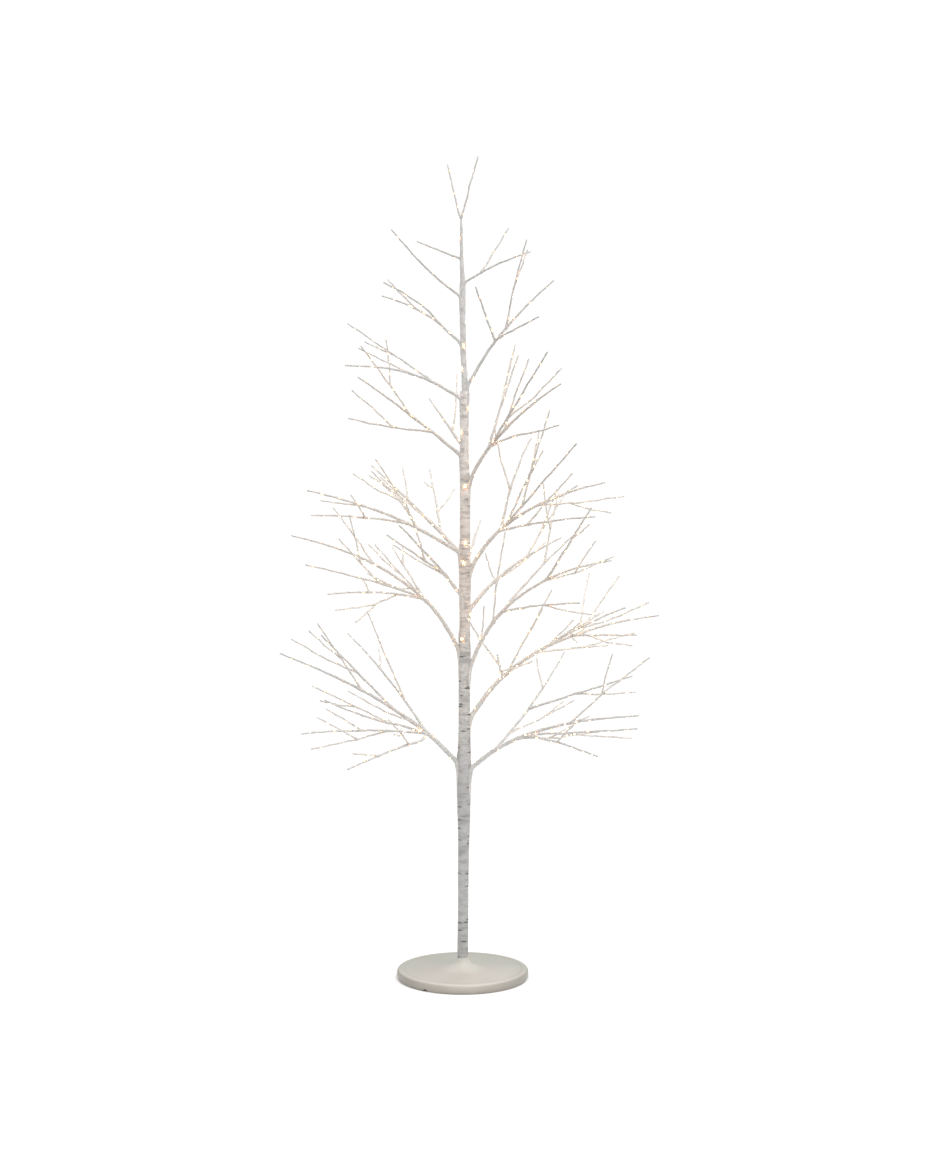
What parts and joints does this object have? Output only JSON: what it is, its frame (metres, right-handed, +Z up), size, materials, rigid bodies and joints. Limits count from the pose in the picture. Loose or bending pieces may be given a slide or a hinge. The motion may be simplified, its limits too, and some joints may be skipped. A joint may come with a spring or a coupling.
{
  "type": "artificial white birch tree with lights",
  "caption": "Bare artificial white birch with tiny warm lights: a slim upright pole on a round moulded base, carrying tapering wire boughs wrapped in paper.",
  "frame": {"origin": "centre of the round base's flat underside, on the floor", "axes": "+Z up along the trunk, +X to the viewer's right, -Y towards the viewer"},
  "size_m": [0.9322, 0.7234, 2.0005],
  "materials": {
    "moulded_base": "warm off-white moulded plastic, satin",
    "bark_paper": "white paper wrap printed with grey birch flecks and short dark dashes",
    "bough_paper": "white paper tape wound on wire, matt",
    "light_resin": "clear resin drop over a warm-white diode, lit; in the visual model only",
    "light_wire": "thin pale insulated wire; in the visual model only"
  },
  "bodies": {
    "root": {"base": "moulded_base", "bough_01": "bough_paper", "bough_01_back": "bough_paper", "bough_01_front": "bough_paper", "bough_01_low": "bough_paper", "bough_01_side": "bough_paper", "bough_01_upper": "bough_paper", "bough_02": "bough_paper", "bough_02_back": "bough_paper", "bough_02_front": "bough_paper", "bough_02_side": "bough_paper", "bough_02_upper": "bough_paper", "bough_03": "bough_paper", "bough_03_back": "bough_paper", "bough_03_front": "bough_paper", "bough_03_low": "bough_paper", "bough_03_side": "bough_paper", "bough_04": "bough_paper", "bough_04_back": "bough_paper", "bough_04_front": "bough_paper", "bough_04_low": "bough_paper", "bough_05": "bough_paper", "bough_05_back": "bough_paper", "bough_05_low": "bough_paper", "bough_05_side": "bough_paper", "bough_06": "bough_paper", "bough_07": "bough_paper", "bough_07_side": "bough_paper", "bough_08": "bough_paper", "bough_08_back": "bough_paper", "bough_08_low": "bough_paper", "bough_08_upper": "bough_paper", "bough_09": "bough_paper", "bough_09_back": "bough_paper", "bough_09_front": "bough_paper", "bough_10": "bough_paper", "bough_10_back": "bough_paper", "bough_11": "bough_paper", "bough_12": "bough_paper", "bough_12_front": "bough_paper", "bough_12_low": "bough_paper", "bough_12_upper": "bough_paper", "bough_13": "bough_paper", "bough_13_low": "bough_paper", "bough_14": "bough_paper", "bough_15": "bough_paper", "bough_15_back": "bough_paper", "bough_16": "bough_paper", "bough_16_front": "bough_paper", "bough_16_low": "bough_paper", "bough_17": "bough_paper", "bough_17_front": "bough_paper", "bough_18": "bough_paper", "bough_19": "bough_paper", "bough_19_upper": "bough_paper", "bough_20": "bough_paper", "leader_left": "bough_paper", "leader_right": "bough_paper", "trunk": "bark_paper", "trunk_top": "bark_paper"}
  },
  "joints": []
}
